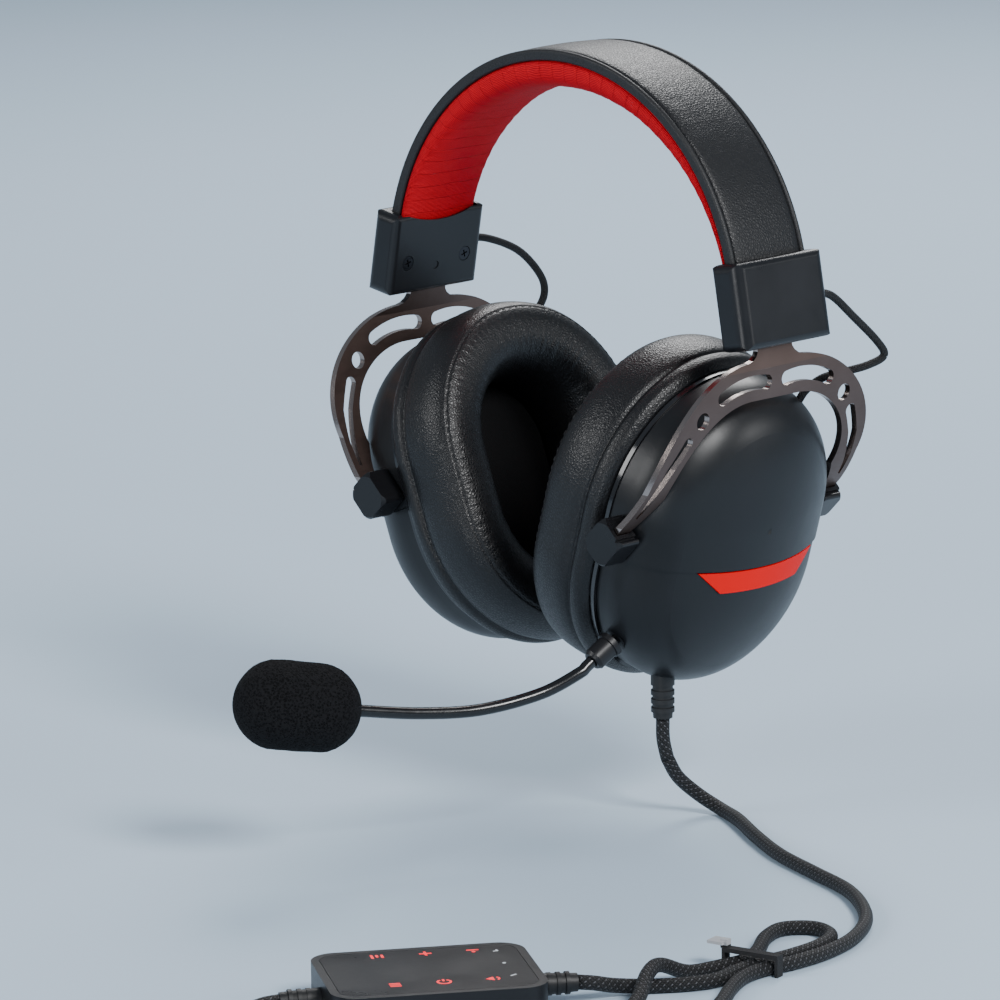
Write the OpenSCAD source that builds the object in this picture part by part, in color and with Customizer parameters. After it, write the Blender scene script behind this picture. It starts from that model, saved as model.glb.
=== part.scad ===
// Over-ear gaming headset with a detachable boom microphone, an in-line control box and a USB cord.
// Millimetres, +Z up, -Y is the wearer's front, +X is the wearer's left.
// The origin is on the underside of the head pad, at the crown.

/* [Headband] */
// Outside radius of the band arch
arch_r = 78; // [74:1:84]
// Width of the padded band, front to back
band_w = 34; // [30:1:40]
// Thickness of the whole band at the crown
crown_t = 13; // [11:1:16]
// Thickness of the sprung steel strip
spring_t = 1.0; // [0.6:0.1:1.4]

/* [End housings] */
// Width of an end housing, front to back
house_w = 41; // [38:1:44]
// Height of an end housing
house_h = 27.6; // [26:0.2:34]
// Outward lean of the housings and stems, degrees
house_lean = 10; // [6:1:14]

/* [Yokes] */
// Thickness of the yoke plate
yoke_t = 2.0; // [1.6:0.1:2.4]
// Radius that the yoke plate is rolled to
yoke_r = 66; // [60:1:72]
// How far a yoke slides out
slide_travel = 18; // [12:1:20]
// Diameter of the pivot pins
pin_d = 3.96; // [3.5:0.02:4.5]

/* [Ear cups] */
// Resting lean of the left cup, degrees, top outwards
lean_left = 16; // [0:1:22]
// Resting lean of the right cup, degrees, top outwards
lean_right = 21; // [0:1:22]
// Half width of a cup shell
cup_r = 42.5; // [40:0.5:42.5]
// Half length of the straight part of the oval
cup_c = 9.5; // [6:0.5:12]
// Depth of the dome
dome_d = 30.5; // [28:0.5:32]
// Wall of the shells
wall = 2; // [1.6:0.1:3]
// Half width of an ear cushion
pad_r = 46.5; // [43:0.5:46.5]
// Depth of an ear cushion
pad_d = 27.4; // [20:0.2:27.6]
// Half width of the ear opening
ear_r = 22; // [20:1:26]

/* [Microphone] */
// Diameter of the boom
boom_d = 3.9; // [3:0.1:5]
// Diameter of the foam windscreen
foam_d = 28; // [24:1:32]
// Length of the foam windscreen
foam_l = 41; // [38:1:46]
// Diameter of the plug pin
jack_d = 3.5; // [3.5:0.1:3.5]

/* [Cords] */
// Diameter of the main cord
cord_d = 4.4; // [3.6:0.1:5]
// Diameter of the two link cables
link_d = 2.6; // [2:0.1:3]
// Mean radius of the spare cord's coil
coil_r = 25; // [22:1:28]

/* [Control box] */
// Length of the control box
box_l = 63; // [58:1:70]
// Width of the control box
box_w = 48; // [42:1:54]
// Height of the control box above the desk
box_h = 12.5; // [11:0.5:15]

/* [Hidden] */
$fn = 96;
arch_z = crown_t - arch_r;
hx = 77.3;
hz = -60.5;
px = 52.5;
pz = -133.5;
yx = 12.3;
yz = -81;
desk_z = -231.5;
cup_off = 4.5;
base_z = -7;
rim = 5.15;
tang = (cup_r - 20) / 50;
cord_z = desk_z + cord_d / 2;
box_at = [140.5, -216, desk_z];
box_turn = 56;

function unit(v) = v / norm(v);
function at(p, i) = p[max(0, min(len(p) - 1, i))];
function spline(a, b, c, d, t) =
  0.5 * (2 * b + (c - a) * t + (2 * a - 5 * b + 4 * c - d) * t * t + (3 * b - a - 3 * c + d) * t * t * t);
function smooth(p, k) = concat(
  [for (i = [0 : len(p) - 2]) for (j = [0 : k - 1])
    spline(i == 0 ? 2 * p[0] - p[1] : p[i - 1], p[i], p[i + 1],
      i == len(p) - 2 ? 2 * p[i + 1] - p[i] : p[i + 2], j / k)],
  [p[len(p) - 1]]);
function heading(p, i) = unit(at(p, i + 1) - at(p, i - 1));
function around(p, i, r, n, up) =
  let (t = heading(p, i), a = unit(cross(up, t)), b = cross(t, a))
  [for (k = [0 : n - 1]) p[i] + r * (a * cos(360 * k / n) + b * sin(360 * k / n))];

module tube(p, d, n, up, from = 0, to = -1) {
  last = to < 0 ? len(p) - 1 : to;
  m = last - from + 1;
  polyhedron(
    points = [for (i = [from : last]) each around(p, i, d / 2, n, up)],
    faces = concat(
      [[for (k = [0 : n - 1]) k]],
      [for (i = [0 : m - 2]) for (k = [0 : n - 1])
        [i * n + k, (i + 1) * n + k, (i + 1) * n + (k + 1) % n]],
      [for (i = [0 : m - 2]) for (k = [0 : n - 1])
        [i * n + k, (i + 1) * n + (k + 1) % n, i * n + (k + 1) % n]],
      [[for (k = [n - 1 : -1 : 0]) (m - 1) * n + k]]),
    convexity = 8);
}

module right() {
  mirror([1, 0, 0]) children();
}

// ---------- headband ----------
module across(w) {
  rotate([90, 0, 0]) linear_extrude(w, center = true) children();
}

module in_housing() {
  translate([hx, 0, hz]) rotate([0, -house_lean, 0]) children();
}

module both_housings() {
  in_housing() children();
  mirror([1, 0, 0]) in_housing() children();
}

module below(level) {
  both_housings() translate([-60, -50, level - 120]) cube([120, 100, 120]);
}

module ring2d(r1, r0) {
  translate([0, arch_z]) difference() {
    circle(r1, $fn = 180);
    circle(r0, $fn = 180);
  }
}

module keep_arch(low) {
  difference() {
    children();
    translate([-100, -50, -250]) cube([200, 100, 250 + hz - 14]);
    below(low);
  }
}

module headband_cover() {
  color("#17171a") keep_arch(9) across(band_w - 4.2) ring2d(arch_r, arch_r - 1);
}

module headband_piping() {
  color("#333336") keep_arch(9) for (s = [-1, 1])
    translate([0, s * (band_w / 2 - 1), arch_z]) rotate([90, 0, 0])
      rotate_extrude($fn = 180) union() {
        translate([arch_r - 1, 0]) circle(1, $fn = 32);
        translate([arch_r - 2.6, 0]) circle(1, $fn = 32);
        translate([arch_r - 2.6, -1]) square([1.6, 2]);
      }
}

module headband_spring() {
  color("#8d9095") difference() {
    union() {
      keep_arch(8.6) across(band_w - 6) ring2d(arch_r - 1.1, arch_r - 1.1 - spring_t);
      both_housings() translate([-1, -16.2, -7]) cube([1, 32.4, 15.8]);
    }
    both_housings() for (s = [-1, 1])
      translate([-3, s * 13, -2.8]) rotate([0, 90, 0]) cylinder(d = 3, h = 6, $fn = 32);
  }
}

module pad2d(outer) {
  intersection() {
    ring2d(outer, 40);
    difference() {
      translate([-90, -70]) square([180, 90]);
      translate([0, -75.6]) circle(75.6, $fn = 180);
    }
  }
}

module headband_pad() {
  color("#c8202c") difference() {
    keep_arch(9) union() {
      across(band_w - 4.2) pad2d(arch_r - 2.2);
      across(band_w - 0.8) pad2d(arch_r - 3.8);
    }
    both_housings() translate([-3.75, -8.3, 0]) cube([3.2, 16.6, 16.4]);
    both_housings() translate([-9, -8.3, 0]) cube([8.4, 16.6, 10.9]);
  }
}

module house2d(x0, x1, r0, r1) {
  w = house_w / 2;
  union() {
    translate([x0 + r0, -w]) square([x1 - x0 - r0 - r1, 2 * w]);
    translate([x0, -w + r0]) square([r0 + 0.01, 2 * w - 2 * r0]);
    translate([x1 - r1 - 0.01, -w + r1]) square([r1 + 0.01, 2 * w - 2 * r1]);
    for (s = [-1, 1]) {
      translate([x0 + r0, s * (w - r0)]) circle(r0, $fn = 48);
      translate([x1 - r1, s * (w - r1)]) circle(r1, $fn = 48);
    }
  }
}

module house_block() {
  intersection() {
    translate([0, 0, -house_h / 2]) linear_extrude(house_h) house2d(-5.7, 5.7, 2.5, 4);
    across(60) slab2d(11.4, house_h, 2.2);
    rotate([90, 0, 90]) linear_extrude(30, center = true) slab2d(house_w, house_h, 3);
  }
}

module housing() {
  h = house_h / 2;
  in_housing() difference() {
    union() {
      difference() {
        intersection() {
          house_block();
          translate([-3.65, -30, -30]) cube([20, 60, 60]);
        }
        translate([-10, -17.15, -h + 1.8]) cube([13.9, 34.3, house_h - 3.6]);
        translate([-10, -17.15, h - 2]) cube([11.2, 34.3, 4]);
        translate([-10, -8.15, -h - 1]) cube([8.55, 16.3, 4]);
      }
      for (s = [-1, 1]) {
        translate([0.06, s * 13, -2.8]) rotate([0, 90, 0]) cylinder(d = 7, h = 4, $fn = 48);
        translate([-3.6, s * 8.8 - 0.65, -h + 1]) cube([8, 1.3, 5.6]);
      }
    }
    for (s = [-1, 1])
      translate([-2, s * 13, -2.8]) rotate([0, 90, 0]) cylinder(d = 2.6, h = 5.4, $fn = 32);
    translate([1.2, 16.9, -0.4]) rotate([-90, 0, 0]) cylinder(d = 4.2, h = 4, $fn = 32);
  }
}

module housing_left() {
  color("#1c1c1f") housing();
}

module housing_right() {
  color("#1c1c1f") right() housing();
}

module housing_plate() {
  h = house_h / 2;
  in_housing() difference() {
    union() {
      intersection() {
        house_block();
        translate([-5.8, -30, -30]) cube([2.1, 60, 60]);
      }
      for (s = [-1, 1])
        translate([-3.8, s * 13, -2.8]) rotate([0, 90, 0]) cylinder(d = 6, h = 2.75, $fn = 48);
    }
    translate([-5, -17.2, 8.7]) cube([4.2, 34.4, 8]);
    translate([-10, 0, h - 3 + 44]) rotate([0, 90, 0]) cylinder(r = 44, h = 20, $fn = 120);
    for (s = [-1, 1]) translate([-8, s * 13, -2.8]) rotate([0, 90, 0]) {
      cylinder(d = 2.7, h = 10, $fn = 32);
      cylinder(d = 5, h = 3.3, $fn = 48);
    }
    translate([-7.4, 0, -5]) rotate([0, 90, 0]) cylinder(d = 2.8, h = 2, $fn = 32);
  }
}

module housing_plate_left() {
  color("#1c1c1f") housing_plate();
}

module housing_plate_right() {
  color("#1c1c1f") right() housing_plate();
}

module housing_screw_pair() {
  in_housing() for (s = [-1, 1]) translate([-5.6, s * 13, -2.8]) rotate([0, 90, 0])
    difference() {
      union() {
        cylinder(d = 4.6, h = 0.85, $fn = 48);
        cylinder(d = 2.5, h = 8.4, $fn = 32);
      }
      for (a = [0, 90]) rotate([0, 0, a + 20])
        translate([-1.3, -0.25, -1]) cube([2.6, 0.5, 1.5]);
    }
}

module housing_screws() {
  color("#77787c") {
    housing_screw_pair();
    right() housing_screw_pair();
  }
}

module detent() {
  in_housing() {
    translate([-1.45, -6, -11.8]) cube([5.1, 12, 4.4]);
    translate([-0.75, 0, -9.6]) sphere(1.2, $fn = 40);
  }
}

module detents() {
  color("#d8d8d2") {
    detent();
    right() detent();
  }
}

// ---------- yokes ----------
module yoke_face() {
  difference() {
    union() {
      for (s = [-1, 1]) {
        translate([s * 10.7, -116.5]) circle(37.8, $fn = 144);
        polygon([[s * 20, -116.5], [s * 48.5, -116.5], [s * 50.6, -128], [s * 50.6, -136], [s * 20, -136]]);
      }
      translate([-10.7, -116.5]) square([21.4, 37.8]);
      polygon([[-8, -72], [8, -72], [8, -75.6], [8.9, -77], [10.6, -78.2], [13, -78.8],
        [13, -84], [-13, -84], [-13, -78.8], [-10.6, -78.2], [-8.9, -77], [-8, -75.6]]);
    }
    for (s = [-1, 1]) {
      translate([s * 10.5, -119.5]) circle(28.5, $fn = 144);
      polygon([[0, -119.5], [s * 39, -119.5], [s * 42, -124.5], [s * 44.6, -129.5], [s * 44.6, -140], [0, -140]]);
      translate([s * 32.7, -94.2]) circle(2.75, $fn = 48);
      // kidney slot
      intersection() {
        difference() {
          translate([s * 10.6, -117.2]) circle(34.6, $fn = 144);
          translate([s * 10.6, -117.2]) circle(29.9, $fn = 144);
        }
        polygon([[s * 4.6, -80], [s * 4.6, -95], [s * 20, -98], [s * 28, -80]]);
      }
      translate([s * 4.6, -85.5]) circle(2.35, $fn = 40);
      translate([s * 24.4, -88.05]) circle(2.35, $fn = 40);
      // long tapered slot
      polygon([[s * 35.9, -101.6], [s * 39.5, -99.9], [s * 44.1, -108.5], [s * 46.6, -118],
        [s * 47.6, -125], [s * 46.7, -125], [s * 44.2, -118], [s * 40.3, -109]]);
      translate([s * 37.7, -100.8]) circle(2.0, $fn = 40);
    }
    translate([-10.5, -119.5]) square([21, 28.5]);
  }
}

module in_pivot() {
  translate([px, 0, pz]) rotate([0, 45, 0]) children();
}

module yoke() {
  h = house_h / 2;
  t = yoke_t / 2;
  difference() {
    union() {
      // stem
      in_housing() translate([-2.6 - t, -8, -17]) cube([yoke_t, 16, 32]);
      // flat flare
      intersection() {
        in_housing() translate([-2.6 - t, -60, -20.6]) cube([yoke_t, 120, 7]);
        rotate([90, 0, 90]) linear_extrude(110) yoke_face();
      }
      // rolled plate
      intersection() {
        translate([yx, 0, yz]) rotate([90, 0, 0]) difference() {
          cylinder(r = yoke_r + t, h = 120, center = true, $fn = 240);
          cylinder(r = yoke_r - t, h = 130, center = true, $fn = 240);
        }
        translate([40, -60, -150]) cube([60, 120, 69]);
        rotate([90, 0, 90]) linear_extrude(110) yoke_face();
      }
    }
    in_pivot() translate([-12, -60, -30]) cube([24, 120, 33.2]);
    in_housing() {
      // detent groove and edge notches
      translate([-2.1, -1.1, -10.8]) cube([2, 2.2, slide_travel + 2.6]);
      for (k = [0 : 5]) for (s = [-1, 1])
        translate([-6, s * 8.5, -11 + 3 * k]) rotate([0, 90, 0]) cylinder(d = 2, h = 8, $fn = 24);
    }
  }
}

module yoke_left() {
  color("#6b5850") yoke();
}

module yoke_right() {
  color("#6b5850") right() yoke();
}

module cap2d() {
  union() {
    translate([-5.7, -4.6]) square([11.4, 9.8]);
    translate([-4.1, -6.2]) square([7.2, 12.4]);
    translate([-4.1, -4.6]) circle(1.6, $fn = 32);
    translate([3.1, -3.6]) circle(2.6, $fn = 32);
    for (s = [-1, 1]) translate([s * 4.7, 5.2]) circle(1, $fn = 32);
  }
}

module pivot_caps() {
  in_pivot() for (s = [-1, 1]) difference() {
    intersection() {
      translate([0, s * 47.8, 0]) rotate([90, 0, 0]) linear_extrude(8.8, center = true)
        intersection() {
          cap2d();
          translate([-5.7, -6.2]) square([11.4, 12.4]);
        }
      translate([0, s * 52.2, 0]) rotate([s * 90, 0, 0]) cylinder(r1 = 6.6, r2 = 15.4, h = 8.8, $fn = 72);
    }
    translate([-1, s * 47.6 - 3.2, 3]) cube([2.8, 6.4, 6]);
    translate([0, s * 46.4, 0]) rotate([90, 0, 0]) cylinder(d = 4, h = 7.2, center = true, $fn = 48);
  }
}

module pivot_caps_left() {
  color("#222226") pivot_caps();
}

module pivot_caps_right() {
  color("#222226") right() pivot_caps();
}

module pivot_pins() {
  for (s = [-1, 1]) translate([px, s * 43.1, pz]) rotate([90, 0, 0])
    cylinder(d = pin_d, h = 13, center = true, $fn = 48);
}

module pivot_pins_left() {
  color("#a9abb0") pivot_pins();
}

module pivot_pins_right() {
  color("#a9abb0") right() pivot_pins();
}

// ---------- ear cups: X runs down the oval, Z runs outwards ----------
module in_cup(lean) {
  translate([px, 0, pz]) rotate([0, lean, 0]) rotate([0, 90, 0])
    translate([cup_off, 0, 0]) children();
}

module dome2d(e) {
  top = dome_d - e;
  big = 70 - e;
  small = 20 - e;
  union() {
    intersection() {
      translate([0, top - big]) circle(big, $fn = 180);
      square([big * tang, top]);
    }
    intersection() {
      translate([cup_r - 20, rim]) circle(small, $fn = 96);
      square([cup_r - e, top]);
    }
    square([cup_r - e, rim]);
  }
}

module stadium(r) {
  union() {
    for (s = [-1, 1]) translate([s * cup_c, 0]) circle(r, $fn = 120);
    square([2 * cup_c, 2 * r], center = true);
  }
}

module oval(w) {
  // turns a half section into a closed oval body
  for (a = [0, 180]) rotate([0, 0, a]) translate([cup_c, 0, 0]) intersection() {
    rotate_extrude($fn = 144) children();
    translate([0, -w, -w]) cube([w, 2 * w, 2 * w]);
  }
  for (a = [0, 180]) rotate([0, 0, a]) rotate([90, 0, 90])
    linear_extrude(2 * cup_c, center = true) children();
}

module dome(e) {
  translate([0, 0, base_z]) oval(60) dome2d(e);
}

module cavity(e) {
  union() {
    dome(e);
    translate([0, 0, base_z - 1]) linear_extrude(2) stadium(cup_r - e);
  }
}

function post_at(side, s) = side < 0 ? [-26.5, s * 27, 0] : [32, s * 18, 0];

module posts(side) {
  for (s = [-1, 1]) intersection() {
    translate(post_at(side, s) + [0, 0, base_z + 2.2]) cylinder(d = 6, h = 34, $fn = 40);
    dome(1.2);
  }
}

module post_holes(side) {
  for (s = [-1, 1]) translate(post_at(side, s) + [0, 0, base_z]) cylinder(d = 2.3, h = 11, $fn = 32);
}

module upper_shell(y_entry) {
  difference() {
    union() {
      difference() {
        dome(0);
        cavity(wall);
      }
      posts(-1);
      for (s = [-1, 1]) translate([-cup_off, s * 38.6, 0]) rotate([90, 0, 0])
        cylinder(d = 9, h = 5.2, center = true, $fn = 48);
    }
    translate([1.9, -60, -20]) cube([80, 120, 60]);
    post_holes(-1);
    translate([-cup_off, 0, 0]) rotate([90, 0, 0]) cylinder(d = 4.1, h = 100, center = true, $fn = 48);
    // entry of the link cable
    translate([-cup_c, 0, 3]) rotate([0, 0, y_entry]) rotate([0, -90, 0])
      translate([0, 0, 30]) cylinder(d = 3.4, h = 16, $fn = 32);
  }
}

module badge2d(e) {
  up = 2.4 - 4 * e;
  low = 9.6 + e;
  translate([0, 2])
    polygon([[up, -27 - 6.6 * e], [up, 27 + 6.6 * e], [low, 18 + 1.4 * e], [low, -18 - 1.4 * e]]);
}

module lower_shell() {
  difference() {
    union() {
      difference() {
        dome(0.6);
        cavity(wall + 0.2);
      }
      posts(1);
    }
    translate([-78, -60, -20]) cube([80.1, 120, 60]);
    post_holes(1);
    difference() {
      translate([0, 0, 10]) linear_extrude(30) badge2d(0.15);
      dome(1.3);
    }
  }
}

module upper_shell_left() {
  color("#202024") in_cup(lean_left) upper_shell(-36.5);
}

module upper_shell_right() {
  color("#202024") right() in_cup(lean_right) upper_shell(-36.5);
}

module lower_shell_left() {
  color("#202024") difference() {
    in_cup(lean_left) difference() {
      lower_shell();
      in_mic() cylinder(d = 7.8, h = 60, $fn = 48);
    }
    translate([42, -13.5, -200]) cylinder(d = 8, h = 22, $fn = 48);
  }
}

module lower_shell_right() {
  color("#202024") right() in_cup(lean_right) lower_shell();
}

module badge() {
  intersection() {
    difference() {
      dome(0);
      dome(1.1);
    }
    translate([0, 0, 8]) linear_extrude(30) badge2d(0);
  }
}

module badge_left() {
  color("#d01520") in_cup(lean_left) badge();
}

module badge_right() {
  color("#d01520") right() in_cup(lean_right) badge();
}

module chassis_ring() {
  translate([0, 0, base_z - 1.6]) linear_extrude(1.5) difference() {
    stadium(43);
    stadium(36);
  }
}

module chassis_ring_left() {
  color("#0c0c0e") in_cup(lean_left) chassis_ring();
}

module chassis_ring_right() {
  color("#0c0c0e") right() in_cup(lean_right) chassis_ring();
}

module baffle() {
  translate([0, 0, base_z + 0.1]) linear_extrude(2) difference() {
    stadium(39.7);
    circle(22, $fn = 96);
    for (s = [-1, 1]) for (q = [-1, 1]) translate(post_at(s, q)) circle(1.35, $fn = 32);
    for (s = [-1, 1]) for (a = [-40, -20, 0, 20, 40])
      rotate([0, 0, a + (s > 0 ? 0 : 180)]) translate([32, 0]) circle(1.5, $fn = 32);
  }
}

module baffle_left() {
  color("#2a2a2d") in_cup(lean_left) baffle();
}

module baffle_right() {
  color("#2a2a2d") right() in_cup(lean_right) baffle();
}

module cup_screws() {
  for (s = [-1, 1]) for (q = [-1, 1]) translate(post_at(s, q) + [0, 0, base_z - 1.3]) {
    cylinder(d = 4.4, h = 1.35, $fn = 40);
    cylinder(d = 2.2, h = 10, $fn = 32);
  }
}

module cup_screws_left() {
  color("#77787c") in_cup(lean_left) cup_screws();
}

module cup_screws_right() {
  color("#77787c") right() in_cup(lean_right) cup_screws();
}

module driver_frame() {
  translate([0, 0, base_z + 2.15]) difference() {
    union() {
      cylinder(d = 50, h = 1.5, $fn = 96);
      cylinder(d = 46, h = 6, $fn = 96);
    }
    translate([0, 0, 0.6]) cylinder(d = 42, h = 4, $fn = 96);
    translate([0, 0, 4]) cylinder(d = 22.1, h = 4, $fn = 72);
    for (a = [0 : 30 : 150]) rotate([0, 0, a]) translate([-18, -0.9, -1]) cube([36, 1.8, 2]);
    for (a = [0 : 60 : 300]) rotate([0, 0, a]) translate([16, 0, 3]) cylinder(d = 3, h = 5, $fn = 32);
  }
}

module driver_frame_left() {
  color("#3a3a3e") in_cup(lean_left) driver_frame();
}

module driver_frame_right() {
  color("#3a3a3e") right() in_cup(lean_right) driver_frame();
}

module driver_magnet() {
  translate([0, 0, base_z + 3.2]) cylinder(d = 22, h = 7.4, $fn = 72);
}

module driver_magnet_left() {
  color("#b4b6ba") in_cup(lean_left) driver_magnet();
}

module driver_magnet_right() {
  color("#b4b6ba") right() in_cup(lean_right) driver_magnet();
}

module ear_cloth() {
  translate([0, 0, base_z - 2.6]) linear_extrude(0.6) stadium(ear_r - 0.3);
}

module ear_cloth_left() {
  color("#101012") in_cup(lean_left) ear_cloth();
}

module ear_cloth_right() {
  color("#101012") right() in_cup(lean_right) ear_cloth();
}

module cushion2d() {
  r = 8.5;
  union() {
    translate([ear_r, r]) square([pad_r - ear_r, pad_d - r]);
    translate([ear_r + r, 0]) square([pad_r - ear_r - 2 * r, r + 1]);
    translate([ear_r + r, r]) circle(r, $fn = 64);
    translate([pad_r - r, r]) circle(r, $fn = 64);
  }
}

module ear_cushion() {
  translate([0, 0, base_z - 1.8 - pad_d]) oval(60) cushion2d();
}

module ear_cushion_left() {
  color("#1a1a1c") in_cup(lean_left) ear_cushion();
}

module ear_cushion_right() {
  color("#1a1a1c") right() in_cup(lean_right) ear_cushion();
}

// ---------- microphone ----------
module in_mic() {
  // Z runs out of the socket
  translate([cup_c, 0, -1]) rotate([0, 0, -56]) rotate([0, 90, 0]) children();
}

module mic_socket() {
  color("#3b3b40") in_cup(lean_left) in_mic() difference() {
    translate([0, 0, 27]) cylinder(d = 7.6, h = 14.6, $fn = 48);
    translate([0, 0, 28]) cylinder(d = jack_d + 0.1, h = 20, $fn = 48);
  }
}

module mic_plug() {
  color("#26262a") in_cup(lean_left) in_mic() difference() {
    union() {
      translate([0, 0, 43.2]) cylinder(d = 8.6, h = 1.8, $fn = 48);
      translate([0, 0, 44.9]) cylinder(d = 7.6, h = 6.3, $fn = 48);
      translate([0, 0, 51.1]) cylinder(d1 = 7.6, d2 = 6, h = 1.2, $fn = 48);
      translate([0, 0, 29]) cylinder(d = jack_d, h = 15, $fn = 48);
    }
    translate([0, 0, 48.6]) cylinder(d = boom_d + 0.4, h = 5, $fn = 48);
  }
}

boom = concat(
  [[40.15, -40.7, -173]],
  smooth([[39.27, -45.26, -176], [38.7, -48.2, -177.9], [33, -60, -183.4], [24.6, -78.5, -186.6],
    [16.5, -97, -185.7], [8.26, -115.45, -182.87]], 2),
  [[7.06, -118.15, -182.37]]);

module mic_boom_lower() {
  color("#101013") tube(boom, boom_d, 16, [0.9, -0.4, 0.1], 0, 7);
}

module mic_boom_upper() {
  color("#101013") tube(boom, boom_d, 16, [0.9, -0.4, 0.1], 7);
}

module in_foam() {
  translate([0, -134, -179.4]) rotate([0, 80.3, 246]) children();
}

module mic_capsule() {
  color("#18181b") in_foam() difference() {
    union() {
      translate([0, 0, -20.2]) cylinder(d1 = 6, d2 = 10, h = 4.4, $fn = 48);
      translate([0, 0, -15.9]) cylinder(d = 10, h = 24, $fn = 48);
    }
    translate([0, 0, -21]) cylinder(d = boom_d + 0.4, h = 3.7, $fn = 48);
  }
}

module windscreen() {
  color("#0e0e10") in_foam() difference() {
    union() {
      for (s = [-1, 1]) translate([0, 0, s * (foam_l - foam_d) / 2]) sphere(d = foam_d, $fn = 64);
      cylinder(d = foam_d, h = foam_l - foam_d, center = true, $fn = 64);
    }
    translate([0, 0, -30]) cylinder(d = 10.3, h = 38.6, $fn = 48);
  }
}

// ---------- cords ----------
link_l = [[78.5, 17.4, -60.5], [78.4, 26, -62.2], [79.2, 36, -70.4], [80.4, 46, -79.6], [80.6, 48.8, -84.4],
  [78.6, 43.6, -87], [74.4, 37.2, -88.8], [70, 31.4, -90.6], [66.9, 27.2, -94.2], [65.8, 24.3, -98]];
link_r = [[78.5, 17.4, -60.5], [78, 29, -61.8], [77, 43, -67.6], [75.8, 52, -76.6], [75.2, 53.6, -83.4],
  [74.6, 48.6, -89], [73, 38.4, -92], [70.26, 27.2, -95.6], [68.85, 24.3, -99.28]];

module link_upper_left() {
  color("#0d0d0f") tube(link_l, link_d, 8, [1, 0.1, 0.2], 0, 4);
}

module link_lower_left() {
  color("#0d0d0f") tube(link_l, link_d, 8, [1, 0.1, 0.2], 4);
}

module link_upper_right() {
  color("#0d0d0f") right() tube(link_r, link_d, 8, [1, 0.1, 0.2], 0, 4);
}

module link_lower_right() {
  color("#0d0d0f") right() tube(link_r, link_d, 8, [1, 0.1, 0.2], 4);
}

module cord_gland() {
  color("#141417") translate([42, -13.5, -198]) {
    cylinder(d1 = 6.2, d2 = 7.0, h = 6.2, $fn = 48);
    for (k = [0, 1, 2]) translate([0, 0, 2 + 2.8 * k]) cylinder(d = 7.6, h = 1.5, $fn = 48);
    translate([0, 0, 6]) cylinder(d = 6.6, h = 5, $fn = 48);
    translate([0, 0, 10.8]) cylinder(d = 7.7, h = 6, $fn = 48);
  }
}

function beside(k, z) = box_at + [k * cos(box_turn), k * sin(box_turn), z];
u = cord_z;
run = concat([
  [42, -13.5, -198.1], [42, -13.4, -205], [42.2, -11.8, -211.6],
  [43, -7.6, -218.6], [46.4, -1.6, -225], [53.4, 1.6, u], [66, -4.2, u], [85, -16, u], [105, -27, u],
  [126, -35, u], [147, -43, u], [163, -54, u], [175.6, -67, u], [184.4, -83, u], [188.2, -99, u],
  [188.4, -112, u], [186.7, -124, u], [187.8, -134, u], [193, -145, u], [200.4, -157, u], [206.2, -169, u],
  [205.4, -180.6, u], [197, -187, u], [188.2, -182.6, u], [182.6, -172.6, u + 1.4], [176.6, -163, u + 4.7],
  [172.2, -153, u + 4.7], [172.2, -141, u], [175.4, -130, u], [176.3, -120, u], [171.6, -110, u],
  [164.4, -99, u], [161.6, -88.4, u], [168, -81.4, u], [177, -84, u], [181.8, -94, u],
  [182.8, -108, u], [181.7, -122.4, u], [182.6, -133.4, u], [184, -142, u],
  [180.4, -150.8, u], [174, -159.4, u], [169, -168.6, u + 1.2]],
  [beside(48.6, 5.4), beside(43.6, 6.05)]);
usb_run = concat([beside(-43.6, 6.05), beside(-48.6, 5.4)],
  [[107, -265.4, u], [98.4, -276.6, u], [94, -290, u], [93.6, -305, u], [95.6, -319, u], [96.7, -330, u]]);
lead = [[124, -357.3, u], [137, -357.6, u], [150, -354, u + 1.4], [156.4, -352.6, u + 2.2], [160.4, -351.9, u + 2.2]];
coil_at = [124, -330, desk_z];

module cord_hanging() {
  color("#121214") tube(run, cord_d, 10, [1, 0, 0.1], 0, 2);
}

module cord_on_desk() {
  color("#121214") tube(run, cord_d, 10, [0.02, 0.05, 1], 2);
}

module cord_tie() {
  color("#202022") translate([181.7, -123.2, desk_z]) rotate([0, 0, 12]) {
    difference() {
      translate([-9.9, -1.6, 0.05]) cube([19, 3.2, 6.6]);
      translate([-8.9, -3, 0.05]) cube([17, 6, 5.3]);
    }
    translate([-10.5, -1.2, 6.4]) cube([2.2, 2.4, 2.6]);
    translate([-14.3, -2.6, 7.6]) cube([5.2, 5.2, 0.9]);
  }
}

// ---------- control box ----------
module in_box() {
  translate(box_at) rotate([0, 0, box_turn]) children();
}

module slab2d(l, w, r) {
  union() {
    square([l - 2 * r, w], center = true);
    square([l, w - 2 * r], center = true);
    for (s = [-1, 1]) for (q = [-1, 1])
      translate([s * (l / 2 - r), q * (w / 2 - r)]) circle(r, $fn = 64);
  }
}

module gland_hole() {
  for (s = [-1, 1]) translate([s * (box_l / 2), 0, 6.05]) rotate([0, 90, 0])
    cylinder(d = 6.2, h = 12, center = true, $fn = 48);
}

module box_bottom() {
  color("#161619") in_box() difference() {
    union() {
      difference() {
        linear_extrude(6) slab2d(box_l, box_w, 8);
        translate([0, 0, 1.6]) linear_extrude(5) slab2d(box_l - 3.2, box_w - 3.2, 6.4);
      }
      for (s = [-1, 1]) for (q = [-1, 1])
        translate([s * 21, q * 15.5, 1.5]) cylinder(d = 5, h = 2.9, $fn = 40);
    }
    gland_hole();
  }
}

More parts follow.
